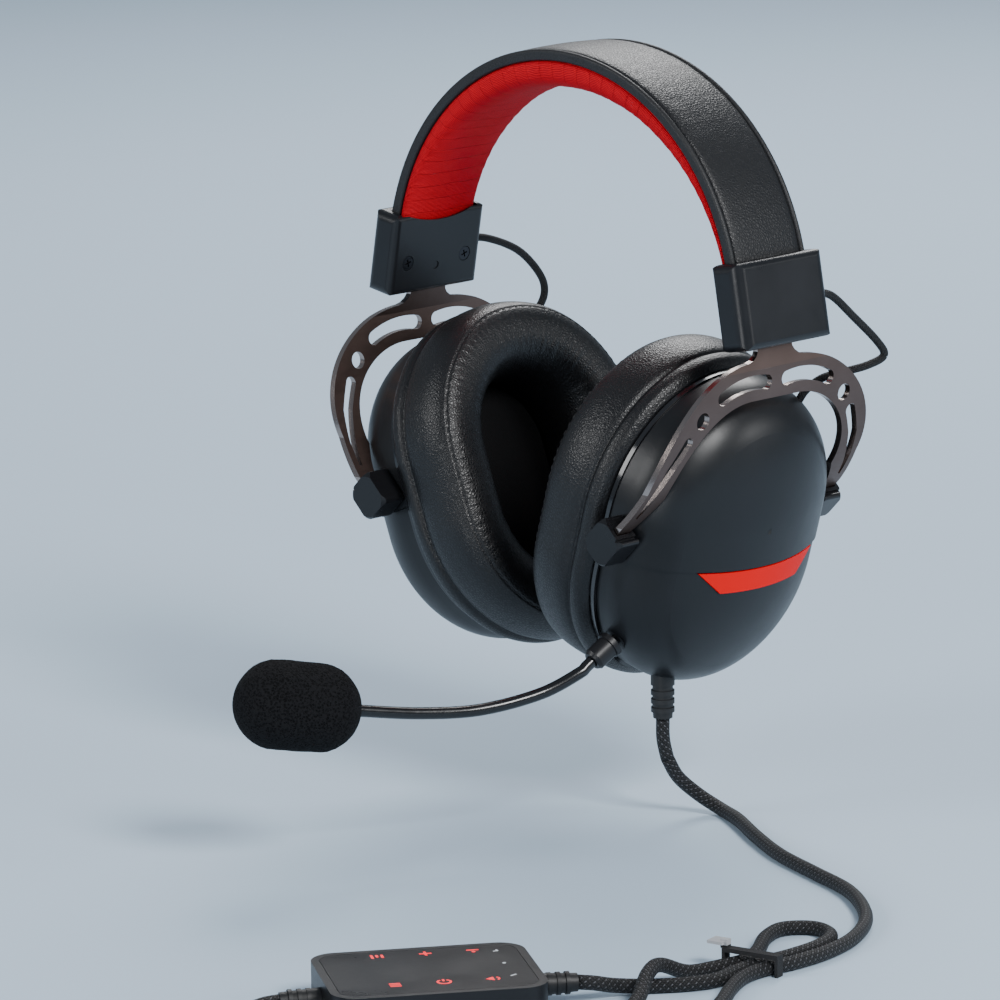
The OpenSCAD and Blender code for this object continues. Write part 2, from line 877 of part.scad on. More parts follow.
module box_top() {
  color("#161619") in_box() difference() {
    translate([0, 0, 6.1]) linear_extrude(box_h - 6.1) slab2d(box_l, box_w, 8);
    translate([0, 0, 5]) linear_extrude(box_h - 7.6) slab2d(box_l - 3.2, box_w - 3.2, 6.4);
    translate([0, 0, box_h - 0.9]) linear_extrude(2) slab2d(box_l - 5, box_w - 5, 5.6);
    gland_hole();
  }
}

module touch_panel() {
  color("#08080a") in_box() translate([0, 0, box_h - 0.8])
    linear_extrude(0.8) slab2d(box_l - 5.3, box_w - 5.3, 5.4);
}

module box_board() {
  color("#1f5c3a") in_box() translate([0, 0, 4.5]) {
    linear_extrude(1.2) slab2d(box_l - 15, box_w - 8, 2);
    translate([-8, -6, 1.1]) cube([9, 9, 1.1]);
    translate([6, 5, 1.1]) cube([5, 4, 0.9]);
    translate([8, -12, 1.1]) cube([3, 3, 1.6]);
  }
}

module box_glands() {
  color("#141417") in_box() for (s = [-1, 1]) translate([s * (box_l / 2), 0, 6.05])
    rotate([0, s * 90, 0]) {
      translate([0, 0, -4.4]) cylinder(d = 7, h = 2.6, $fn = 48);
      translate([0, 0, -2]) cylinder(d = 6, h = 3, $fn = 48);
      translate([0, 0, 0.1]) cylinder(d1 = 6.8, d2 = 5.4, h = 11.9, $fn = 48);
      for (k = [0, 1, 2]) translate([0, 0, 3 + 2.7 * k]) cylinder(d = 6.8, h = 1.2, $fn = 48);
    }
}

// ---------- USB end ----------
module usb_cord() {
  color("#121214") tube(usb_run, cord_d, 10, [0.02, 0.05, 1]);
}

module usb_coil() {
  color("#121214") translate(coil_at) rotate_extrude($fn = 96) union() {
    for (s = [-1, 1]) translate([coil_r + s * 4, 4.4]) circle(2.3, $fn = 24);
    for (s = [-1, 1]) translate([coil_r + s * 4, 2.3]) circle(2.2, $fn = 24);
    translate([coil_r - 6.2, 2.3]) square([12.4, 2.2]);
    translate([coil_r - 4, 0.1]) square([8, 8.8]);
  }
}

module usb_lead() {
  color("#121214") tube(lead, cord_d, 10, [0.02, 0.05, 1]);
}

module in_plug() {
  translate([160.5, -351.9, desk_z + 4.4]) rotate([0, 0, 10]) rotate([0, 90, 0]) children();
}

module usb_plug() {
  color("#1a1a1d") in_plug() difference() {
    union() {
      cylinder(d1 = 5.4, d2 = 7, h = 7.2, $fn = 48);
      for (k = [0, 1]) translate([0, 0, 1.4 + 2.6 * k]) cylinder(d = 7, h = 1.2, $fn = 48);
      translate([-4.2, -7.7, 7]) cube([8.4, 15.4, 21]);
    }
    translate([-2.35, -6.1, 24]) cube([4.7, 12.2, 5]);
  }
}

module usb_shell() {
  color("#b9bbc0") in_plug() difference() {
    translate([-2.25, -6, 24.1]) cube([4.5, 12, 15.9]);
    translate([-1.9, -5.6, 29]) cube([1.9, 11.2, 12]);
    for (s = [-1, 1]) translate([-3, s * 2.9 - 1, 33.4]) cube([2, 2, 2.4]);
  }
}

headband_cover();
headband_piping();
headband_spring();
headband_pad();
housing_left();
housing_right();
housing_plate_left();
housing_plate_right();
housing_screws();
detents();
link_upper_left();
link_upper_right();
link_lower_left();
link_lower_right();
yoke_left();
yoke_right();
pivot_caps_left();
pivot_caps_right();
pivot_pins_left();
pivot_pins_right();
upper_shell_left();
upper_shell_right();
lower_shell_left();
lower_shell_right();
badge_left();
badge_right();
chassis_ring_left();
chassis_ring_right();
baffle_left();
baffle_right();
cup_screws_left();
cup_screws_right();
driver_frame_left();
driver_frame_right();
driver_magnet_left();
driver_magnet_right();
ear_cloth_left();
ear_cloth_right();
ear_cushion_left();
ear_cushion_right();
mic_socket();
mic_plug();
mic_boom_lower();
mic_boom_upper();
mic_capsule();
windscreen();
cord_gland();
cord_hanging();
cord_on_desk();
cord_tie();
box_bottom();
box_top();
touch_panel();
box_board();
box_glands();
usb_cord();
usb_coil();
usb_lead();
usb_plug();
usb_shell();
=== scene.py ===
import math

import bmesh
import bpy
from mathutils import Matrix, Vector, noise


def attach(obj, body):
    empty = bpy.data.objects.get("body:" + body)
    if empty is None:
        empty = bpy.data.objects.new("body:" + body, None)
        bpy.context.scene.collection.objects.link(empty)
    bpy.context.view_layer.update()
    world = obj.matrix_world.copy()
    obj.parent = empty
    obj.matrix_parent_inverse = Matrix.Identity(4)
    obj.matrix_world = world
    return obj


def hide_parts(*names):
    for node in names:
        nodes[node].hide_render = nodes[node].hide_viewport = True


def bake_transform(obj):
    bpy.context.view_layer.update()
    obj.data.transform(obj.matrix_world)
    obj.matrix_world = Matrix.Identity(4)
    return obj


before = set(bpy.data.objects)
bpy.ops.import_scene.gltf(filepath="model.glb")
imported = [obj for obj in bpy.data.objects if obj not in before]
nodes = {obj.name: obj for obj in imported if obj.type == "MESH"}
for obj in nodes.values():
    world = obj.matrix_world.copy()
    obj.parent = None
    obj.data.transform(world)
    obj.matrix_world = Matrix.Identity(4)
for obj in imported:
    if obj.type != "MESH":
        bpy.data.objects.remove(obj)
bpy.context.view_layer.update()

# Sizes are in millimetres, as in the part's source, and MM turns them into metres.
MM = 0.001
# Level that the control box and the cords lie on
DESK = -231.5
# The band's arch: height of its centre, and outer radius
ARCH_Z = -65.0
ARCH_R = 78.0
# The cups' tilt axes: distance from the middle plane, and height
PIVOT = (52.5, -133.5)
# How far each cup leans at rest, and the side of the middle plane it is on
LEAN = {"left": math.radians(16), "right": math.radians(21)}
SIGN = {"left": 1, "right": -1}
# A cup's oval: how far its middle is below the tilt axis, and half of its straight stretch
CUP_DROP = 4.5
CUP_STRAIGHT = 9.5
# Front of the shell's ring, which the cushion sits on, inwards from the tilt axis
RING_FRONT = 8.8
# Cords: diameter and height of the middle line on the desk, then the link cable's and the boom's diameters
CORD_D = 4.4
CORD_Z = DESK + CORD_D / 2
LINK_D = 2.6
BOOM_D = 3.9
# Control box: middle, turn and height; and the middle of the coil of spare cord
BOX_AT = (140.5, -216.0)
BOX_TURN = math.radians(56)
BOX_H = 12.5
COIL_AT = (124.0, -330.0)


# ---------- camera ----------
CAMERA_ANGLES = (44.9, 12.0, -0.6)
CAMERA_AIM = (-22.0, -21.9, -134.9)
CAMERA_DISTANCE = 2.041
CAMERA_LENS = 227.3


def add_camera():
    azimuth, elevation, roll = (math.radians(a) for a in CAMERA_ANGLES)
    right = Vector((math.cos(azimuth), math.sin(azimuth), 0))
    forward = Vector((
        -math.sin(azimuth) * math.cos(elevation),
        math.cos(azimuth) * math.cos(elevation),
        -math.sin(elevation),
    ))
    up = right.cross(forward)
    x_axis = right * math.cos(roll) + up * math.sin(roll)
    y_axis = up * math.cos(roll) - right * math.sin(roll)
    target = Vector(CAMERA_AIM) * MM
    place = Matrix((x_axis, y_axis, -forward)).transposed().to_4x4()
    place.translation = target - forward * CAMERA_DISTANCE
    data = bpy.data.cameras.new("camera")
    data.sensor_width = 36
    data.lens = CAMERA_LENS
    data.clip_end = 50
    camera = bpy.data.objects.new("camera", data)
    camera.matrix_world = place
    bpy.context.scene.collection.objects.link(camera)
    bpy.context.scene.camera = camera


add_camera()


# ---------- mesh helpers ----------
def v3(x, y, z):
    return Vector((x, y, z)) * MM


def make_object(name, verts, faces, uvs=None, smooth=True):
    """A closed mesh with outward normals; uvs holds one (u, v) pair for each corner of each face."""
    mesh = bpy.data.meshes.new(name)
    mesh.from_pydata([tuple(v) for v in verts], [], faces)
    if uvs:
        layer = mesh.uv_layers.new(name="surface")
        flat = [pair for face in uvs for pair in face]
        for loop, pair in zip(layer.data, flat):
            loop.uv = pair
    work = bmesh.new()
    work.from_mesh(mesh)
    bmesh.ops.recalc_face_normals(work, faces=work.faces)
    work.to_mesh(mesh)
    work.free()
    for polygon in mesh.polygons:
        polygon.use_smooth = smooth
    obj = bpy.data.objects.new(name, mesh)
    bpy.context.scene.collection.objects.link(obj)
    return obj


def loft(name, rings, closed=False, turn=None):
    """Joins rings of points, in metres. u runs round, up to turn if that is set, and v along, in mm."""
    count = len(rings[0])
    verts = [p for ring in rings for p in ring]
    faces, uvs = [], []
    along = [0.0]
    for a, b in zip(rings, rings[1:] + rings[:1]):
        step = sum((q - p).length for p, q in zip(a, b)) / count
        along.append(along[-1] + step / MM)
    around = [0.0]
    middle = rings[len(rings) // 2]
    for k in range(count):
        around.append(around[-1] + (middle[(k + 1) % count] - middle[k]).length / MM)
    if turn:
        around = [turn * k / count for k in range(count + 1)]
    spans = len(rings) if closed else len(rings) - 1
    for i in range(spans):
        j = (i + 1) % len(rings)
        for k in range(count):
            m = (k + 1) % count
            faces.append((i * count + k, i * count + m, j * count + m, j * count + k))
            uvs.append([
                (around[k], along[i]), (around[k + 1], along[i]),
                (around[k + 1], along[i + 1]), (around[k], along[i + 1]),
            ])
    if not closed:
        for start, where in ((0, along[0]), ((len(rings) - 1) * count, along[-2])):
            faces.append(tuple(range(start, start + count)))
            uvs.append([(around[k], where) for k in range(count)])
    return make_object(name, verts, faces, uvs)


def curve_point(a, b, c, d, t):
    return 0.5 * (
        2 * b + (c - a) * t + (2 * a - 5 * b + 4 * c - d) * t * t + (3 * b - a - 3 * c + d) * t ** 3
    )


def smooth_path(points, steps=8):
    """A smooth curve through the points."""
    p = [Vector(q) for q in points]
    p = [2 * p[0] - p[1]] + p + [2 * p[-1] - p[-2]]
    out = []
    for i in range(1, len(p) - 2):
        out += [curve_point(p[i - 1], p[i], p[i + 1], p[i + 2], k / steps) for k in range(steps)]
    return out + [p[-2]]


def smooth_ring(points, steps=4):
    count = len(points)
    p = [Vector(q) for q in points]
    return [
        curve_point(p[i - 1], p[i], p[(i + 1) % count], p[(i + 2) % count], k / steps)
        for i in range(count) for k in range(steps)
    ]


def even(points, step):
    """The same path with points an even step apart."""
    lengths = [0.0]
    for a, b in zip(points, points[1:]):
        lengths.append(lengths[-1] + (b - a).length)
    count = max(2, round(lengths[-1] / step))
    out, i = [], 0
    for k in range(count + 1):
        goal = lengths[-1] * k / count
        while i < len(points) - 2 and lengths[i + 1] < goal:
            i += 1
        span = lengths[i + 1] - lengths[i]
        out.append(points[i].lerp(points[i + 1], (goal - lengths[i]) / span if span else 0))
    return out


def tube(name, path, diameter, sides=16, turn=None):
    """A round tube along a path in millimetres; returns the object and the path in metres."""
    path = [Vector(p) * MM for p in path]
    heading = (path[1] - path[0]).normalized()
    side = heading.orthogonal().normalized()
    rings = []
    for i, point in enumerate(path):
        new = (path[min(i + 1, len(path) - 1)] - path[max(i - 1, 0)]).normalized()
        side = heading.rotation_difference(new) @ side
        side = (side - new * side.dot(new)).normalized()
        heading = new
        other = heading.cross(side)
        rings.append([
            point + (side * math.cos(a) + other * math.sin(a)) * diameter / 2 * MM
            for a in (2 * math.pi * k / sides for k in range(sides))
        ])
    return loft(name, rings, turn=turn), path


def rough_noise(x, y, z, scale):
    return noise.noise(Vector((x, y, z)) * scale)


def ramp(value):
    """The value, held between 0 and 1."""
    return max(0.0, min(1.0, value))


def line_length(line):
    return sum((b - a).length for a, b in zip(line, line[1:]))


# ---------- cords ----------
def beside_box(distance, height):
    return (
        BOX_AT[0] + distance * math.cos(BOX_TURN),
        BOX_AT[1] + distance * math.sin(BOX_TURN),
        DESK + height,
    )


U = CORD_Z
HANGING = [(42, -13.5, -198.1), (42, -13.4, -205), (42.2, -11.8, -211.6)]
MAIN = [
    (42.2, -11.8, -211.6), (43, -7.6, -218.6), (46.4, -1.6, -225), (53.4, 1.6, U), (66, -4.2, U),
    (85, -16, U), (105, -27, U), (126, -35, U), (147, -43, U), (163, -54, U), (175.6, -67, U),
    (184.4, -83, U), (188.2, -99, U), (188.4, -112, U), (186.7, -124, U), (187.8, -134, U), (193, -145, U),
    (200.4, -157, U), (206.2, -169, U), (205.4, -180.6, U), (197, -187, U), (188.2, -182.6, U),
    (182.6, -172.6, U + 1.4), (176.6, -163, U + 4.7), (172.2, -153, U + 4.7), (172.2, -141, U),
    (175.4, -130, U), (176.3, -120, U), (171.6, -110, U), (164.4, -99, U), (161.6, -88.4, U),
    (168, -81.4, U), (177, -84, U), (181.8, -94, U), (182.8, -108, U), (181.7, -122.4, U),
    (182.6, -133.4, U), (184, -142, U), (180.4, -150.8, U), (174, -159.4, U), (169, -168.6, U + 1.2),
    beside_box(48.6, 5.4), beside_box(43.6, 6.05),
]
USB_START = [
    beside_box(-43.6, 6.05), beside_box(-48.6, 5.4), (107, -265.4, U), (98.4, -276.6, U), (93, -290, U),
    (91, -304, U), (90.9, -318, U),
]
USB_END = [
    (134, -364.2, U + 2.8), (143.5, -361, U + 1.2), (152.4, -355.6, U + 2), (156.6, -352.6, U + 2.2),
    (160.5, -351.9, U + 2.2),
]


def coil_turns():
    """Three and a half flat turns inwards, then three and three quarters on top of them, outwards."""
    pitch, per_turn = 4.6, 28
    inward, outward = 3.5, 3.75
    outer = 33.0
    inner = outer - pitch * inward
    out = []
    for k in range(1, int(inward * per_turn)):
        turn = k / per_turn
        out.append((math.pi + turn * 2 * math.pi, outer - pitch * turn, 0.0))
    for k in range(int(outward * per_turn) + 1):
        turn = k / per_turn
        rise = min(1.0, turn / 0.35)
        rise = rise * rise * (3 - 2 * rise)
        angle = math.pi + (inward + turn) * 2 * math.pi
        out.append((angle, inner + pitch * (turn + 0.18 * rise), 4.15 * rise))
    return [
        (COIL_AT[0] + r * math.cos(a), COIL_AT[1] + r * math.sin(a), CORD_Z + z) for a, r, z in out
    ]


main_cord, main_line = tube("main_cord", even(smooth_path(MAIN), 1.6), CORD_D, 18, turn=12)
hanging_cord, _ = tube("hanging_cord", even(smooth_path(HANGING), 1.2), CORD_D, 18, turn=12)
usb_cord, usb_line = tube(
    "usb_cord_run", even(smooth_path(USB_START + coil_turns() + USB_END), 1.8), CORD_D, 18, turn=12
)


# ---------- headband ----------
def arch_point(angle, radius, y):
    return v3(radius * math.sin(angle), y, ARCH_Z + radius * math.cos(angle))


def head_cover():
    """The outer cover: slightly crowned and rippled, with its edges turned down."""
    rings = []
    half = 14.85
    thickness = 0.95
    for i in range(181):
        angle = math.radians(-80 + 160 * i / 180)
        ring = []
        for k in range(25):
            y = half * (k / 12 - 1)
            edge = abs(y) / half
            crown = ARCH_R + 0.45 * (1 - edge ** 2) - 0.55 * edge ** 14
            ripple = 0.10 * rough_noise(angle * 30, y * 0.16, 4.0, 1.0) * (0.4 + 0.6 * edge)
            ring.append(arch_point(angle, crown + ripple, y))
        for k in range(24, -1, -1):
            ring.append(arch_point(angle, ARCH_R - thickness, half * (k / 12 - 1)))
        rings.append(ring)
    return loft("cover_skin", rings)


# Where the head pad meets the band's inside
PAD_TOP = 75.6
# The pad's flat top edge between the band's rolled edges: (y, distance from the arch's centre)
PAD_EDGE = (
    (-15.9, 74.1), (-14.8, 74.25), (-14.6, 75.5), (0, PAD_TOP), (14.6, 75.5), (14.8, 74.25), (15.9, 74.1),
)


def pad_inner(angle):
    """Distance from the arch's centre to the pad's underside, which is a slightly flatter arc."""
    drop = PAD_TOP + ARCH_Z
    return -drop * math.cos(angle) + math.sqrt(PAD_TOP ** 2 - (drop * math.sin(angle)) ** 2)


def head_pad():
    """The mesh pad: a soft bulge under the band, gathered a little along its edges."""
    rings = []
    half = 16.45
    widest = 73.5
    for i in range(321):
        angle = math.radians(-79.9 + 159.8 * i / 320)
        depth = max(widest - pad_inner(angle), 0.5)
        arc = angle * 70
        ring = []
        for k in range(41):
            turn = math.pi * k / 40
            c, s = math.cos(turn), math.sin(turn)
            y = half * math.copysign(abs(c) ** 0.62, c)
            r = widest - depth * s ** 0.52
            side = abs(c) ** 2
            pull = math.sin(arc * 2 * math.pi / 5.2 + 2.4 * rough_noise(arc, 0, y, 0.11))
            pucker = 0.13 * pull * side * min(1, depth / 3)
            soft = 0.22 * rough_noise(arc, y, 9.0, 0.07) * s * min(1, depth / 5)
            ring.append(arch_point(angle, r + pucker + soft, y * (1 + 0.004 * pull * side)))
        ring += [arch_point(angle, r, y) for y, r in PAD_EDGE]
        rings.append(ring)
    return loft("pad_cover", rings)


cover_skin = head_cover()
pad_cover = head_pad()


# ---------- ear cushions ----------
def cup_point(side, out, y, down):
    """A point in a cup's own frame: out from the pivot plane, y, and down the oval from its middle."""
    lean, rise = LEAN[side], -CUP_DROP - down
    x = PIVOT[0] + out * math.cos(lean) + rise * math.sin(lean)
    z = PIVOT[1] - out * math.sin(lean) + rise * math.cos(lean)
    return v3(SIGN[side] * x, y, z)


def oval_spine(count, radius):
    """(centre, normal down, normal y, distance) round the oval, an even distance apart at that radius."""
    straight, bend = 2 * CUP_STRAIGHT, math.pi * radius
    total = 2 * (straight + bend)
    out = []
    for i in range(count):
        s = total * i / count
        far = s % (straight + bend)
        flip = 1 if s < straight + bend else -1
        if far < straight:
            out.append((flip * (far - CUP_STRAIGHT), 0.0, float(flip), s))
        else:
            angle = (far - straight) / radius
            out.append((flip * CUP_STRAIGHT, flip * math.sin(angle), flip * math.cos(angle), s))
    return out


# Cushion section: distance from the oval's middle line, and depth forward of the shell's ring.
# It starts at the back, rolls round the welt, up the side, over the front seam and down the ear opening.
CUSHION_PROFILE = [
    (25, 0.2), (34, 0.1), (42.2, 0.2), (44.2, 0.9), (45.7, 2.4), (46.2, 4.3), (46.0, 6.0), (45.1, 7.3),
    (45.9, 8.5), (46.5, 11), (46.6, 15), (46.3, 19), (45.3, 22.6), (43.9, 24.9), (43.0, 25.5), (42.1, 26.3),
    (39.6, 27.3), (36, 27.6), (32, 27.1), (28, 25.1), (24.8, 21), (22.9, 16), (22.1, 10), (22.4, 5),
    (23, 1.2),
]


# Front seam of a cushion: (distance from the oval's middle line, depth)
SEAM = (43.1, 25.6)


def cushion(side):
    """An ear cushion with a rolled welt, fine puckers at its front seam and soft folds inside."""
    profile = smooth_ring([(q, d, 0) for q, d in CUSHION_PROFILE], 5)
    rings = []
    seed = 3.0 if side == "left" else 11.0
    for centre, nx, ny, s in oval_spine(420, 42):
        ring = []
        for point in profile:
            q, d = point.x, point.y
            front = math.exp(-((q - 40.2) / 1.9) ** 2) * ramp((d - 22) / 3)
            wave = math.sin(2 * math.pi * s / 2.9 + 5.0 * rough_noise(s, q, seed, 0.06))
            pucker = 0.07 * front * wave
            crease = rough_noise(s * 1.5, q * 0.3, d * 0.3 + seed, 0.2)
            inside = ramp((39 - q) / 7) * ramp((d - 6) / 6)
            folds = 0.30 * inside * (abs(crease) ** 0.7 - 0.3)
            body = 0.34 * rough_noise(s, d, seed, 0.04) * ramp((d - 7) / 5)
            welt = 0.16 * rough_noise(s, 5.0, seed, 0.12) * ramp((7 - d) / 3) * min(1.0, d)
            d += pucker + folds
            q += body + welt
            ring.append(cup_point(side, -RING_FRONT - d, ny * q, centre + nx * q))
        rings.append(ring)
    return loft(f"cushion_{side}", rings, closed=True)


def stitches(side):
    """One thread stitch after another along the cushion's front seam."""
    verts, faces = [], []
    ring, spans = 6, 5
    stitch = 1.9
    for centre, nx, ny, _ in oval_spine(104, 43):
        along = Vector((-ny, nx))
        for i in range(spans + 1):
            t = i / spans
            thick = 0.12 * math.sqrt(max(0.0, 1 - (2 * t - 1) ** 2)) + 0.02
            for k in range(ring):
                a = 2 * math.pi * k / ring
                q = SEAM[0] + thick * math.cos(a)
                d = SEAM[1] + thick * math.sin(a) + 0.06 * math.sin(math.pi * t)
                shift = (t - 0.5) * stitch
                down = centre + nx * q + along[0] * shift
                verts.append(cup_point(side, -RING_FRONT - d, ny * q + along[1] * shift, down))
        base = len(verts) - ring * (spans + 1)
        for i in range(spans):
            for k in range(ring):
                m = (k + 1) % ring
                a, b = base + i * ring, base + (i + 1) * ring
                faces.append((a + k, a + m, b + m, b + k))
        faces.append(tuple(base + k for k in range(ring)))
        faces.append(tuple(base + spans * ring + k for k in range(ring)))
    return make_object(f"stitches_{side}", verts, faces)


cushions = {side: cushion(side) for side in SIGN}
threads = {side: stitches(side) for side in SIGN}


# ---------- microphone ----------
BOOM = [
    (40.15, -40.7, -173), (39.27, -45.26, -176), (38.7, -48.2, -177.9), (33, -60, -183.4),
    (24.6, -78.5, -186.6), (16.5, -97, -185.7), (8.26, -115.45, -182.87), (7.06, -118.15, -182.37),
]
boom, _ = tube("boom_jacket", even(smooth_path(BOOM), 1.5), BOOM_D, 20)


def foam():
    """The windscreen: a short capsule of foam along the boom's end, with a hole for the boom."""
    centre = Vector((0, -134, -179.4))
    tilt, turn = math.radians(80.3), math.radians(246)
    axis = Vector((math.sin(tilt) * math.cos(turn), math.sin(tilt) * math.sin(turn), math.cos(tilt)))
    side = axis.orthogonal().normalized()
    other = axis.cross(side)
    half, radius = 20.5, 14.0
    flat = half - radius
    rings = []
    outline = [(-half + 4.2 - 1.1 * i, 2.6 + 0.7 * i) for i in range(4)]
    for i in range(61):
        a = math.pi * i / 60
        h = -math.cos(a) * radius + math.copysign(flat, -math.cos(a)) * min(1, abs(math.cos(a)) * 6)
        r = max(0.4, math.sin(a) * radius)
        if h > outline[-1][0] + 0.2 and r > outline[3][1] or i > 30:
            outline.append((h, r))
    for h, r in outline:
        ring = []
        for k in range(72):
            a = 2 * math.pi * k / 72
            p = axis * h + side * (r * math.cos(a)) + other * (r * math.sin(a))
            dent = 0.34 * noise.noise(p * 0.16) + 0.16 * noise.noise(p * 0.7)
            grow = 1 + dent / radius
            ring.append((centre + axis * h + (p - axis * h) * grow) * MM)
        rings.append(ring)
    return loft("foam_windscreen", rings)


foam_windscreen = foam()


# ---------- link cables ----------
LINKS = {
    "left": [
        (78.5, 17.4, -60.5), (78.4, 26, -62.2), (79.2, 36, -70.4), (80.4, 46, -79.6), (80.6, 48.8, -84.4),
        (78.6, 43.6, -87), (74.4, 37.2, -88.8), (70, 31.4, -90.6), (66.9, 27.2, -94.2), (65.8, 24.3, -98),
    ],
    "right": [
        (78.5, 17.4, -60.5), (78, 29, -61.8), (77, 43, -67.6), (75.8, 52, -76.6), (75.2, 53.6, -83.4),
        (74.6, 48.6, -89), (73, 38.4, -92), (70.26, 27.2, -95.6), (68.85, 24.3, -99.28),
    ],
}
# The link cable's halves meet at this point of its route; LINK_STEPS points are made from each to the next
LINK_SPLIT = 4
LINK_STEPS = 8
LINK_CUT = LINK_SPLIT * LINK_STEPS


def link_pair(side):
    route = [(SIGN[side] * x, y, z) for x, y, z in LINKS[side]]
    path = smooth_path(route, LINK_STEPS)
    upper, _ = tube(f"link_top_{side}", path[:LINK_CUT + 1], LINK_D, 14, turn=8)
    lower, _ = tube(f"link_low_{side}", path[LINK_CUT:], LINK_D, 14, turn=8)
    return upper, lower, [Vector(p) * MM for p in path]


links = {side: link_pair(side) for side in SIGN}


# ---------- touch panel symbols ----------
def box_point(length, width, height):
    c, s = math.cos(BOX_TURN), math.sin(BOX_TURN)
    return v3(BOX_AT[0] + length * c - width * s, BOX_AT[1] + length * s + width * c, DESK + height)


def plate_symbol(name, outlines):
    """Thin raised shapes on the panel: each outline is a list of (length, width) points."""
    verts, faces = [], []
    for outline in outlines:
        base, count = len(verts), len(outline)
        verts += [box_point(x, y, BOX_H - 0.02) for x, y in outline]
        verts += [box_point(x, y, BOX_H + 0.05) for x, y in outline]
        faces.append(tuple(range(base, base + count)))
        faces.append(tuple(range(base + 2 * count - 1, base + count - 1, -1)))
        for k in range(count):
            m = (k + 1) % count
            faces.append((base + k, base + m, base + count + m, base + count + k))
    return make_object(name, verts, faces, smooth=False)


def bar(x, y, length, width, angle=0.0):
    c, s = math.cos(angle), math.sin(angle)
    a, b = length / 2, width / 2
    corners = ((-a, -b), (a, -b), (a, b), (-a, b))
    return [(x + p * c - q * s, y + p * s + q * c) for p, q in corners]


def arc_points(x, y, radius, angles):
    return [(x + radius * math.cos(a), y + radius * math.sin(a)) for a in angles]


def arc_band(x, y, radius, width, start, end, steps=18):
    angles = [math.radians(start + (end - start) * k / steps) for k in range(steps + 1)]
    outer = arc_points(x, y, radius + width / 2, angles)
    return outer + arc_points(x, y, radius - width / 2, angles)[::-1]


def disc(x, y, radius):
    return arc_points(x, y, radius, [math.pi * k / 8 for k in range(16)])


FAR_ROW, NEAR_ROW = 17.0, -12.6
LEFT, MIDDLE, RIGHT = -12.0, 2.2, 16.2
EQUALISER = [
    bar(LEFT - 1.5, FAR_ROW, 0.7, 3.4),
    bar(LEFT, FAR_ROW + 0.4, 0.7, 2.2),
    bar(LEFT + 1.5, FAR_ROW, 0.7, 3.0),
]
PLUS = [
    bar(MIDDLE, FAR_ROW, 3.6, 0.7),
    bar(MIDDLE, FAR_ROW + 1.25, 0.7, 1.4),
    bar(MIDDLE, FAR_ROW - 1.25, 0.7, 1.4),
]
MINUS_AND_DOT = [bar(RIGHT, FAR_ROW + 0.6, 3.6, 0.7), disc(RIGHT, FAR_ROW - 1.2, 0.55)]
THREE_LINES = [bar(LEFT, NEAR_ROW + d, 3.2, 0.6) for d in (-1.3, 0, 1.3)]
RING_AND_STEM = [arc_band(MIDDLE, NEAR_ROW, 1.9, 0.6, 120, 420), bar(MIDDLE, NEAR_ROW + 1.5, 0.6, 1.8)]
SOUND = [
    [(RIGHT - 1.9, NEAR_ROW), (RIGHT + 0.4, NEAR_ROW - 1.6), (RIGHT + 0.4, NEAR_ROW + 1.6)],
    arc_band(RIGHT + 0.3, NEAR_ROW, 1.7, 0.5, -50, 50, 10),
]
red_symbols = plate_symbol(
    "red_symbols", EQUALISER + PLUS + MINUS_AND_DOT + THREE_LINES + RING_AND_STEM + SOUND
)
pale_marks = plate_symbol("pale_marks", [
    bar(22.6, 15.2, 1.8, 0.5, 0.5), bar(23.0, 15.6, 0.5, 1.6), disc(22.6, 2.4, 0.55),
    bar(22.8, -10.3, 2.2, 0.5, 0.6),
])


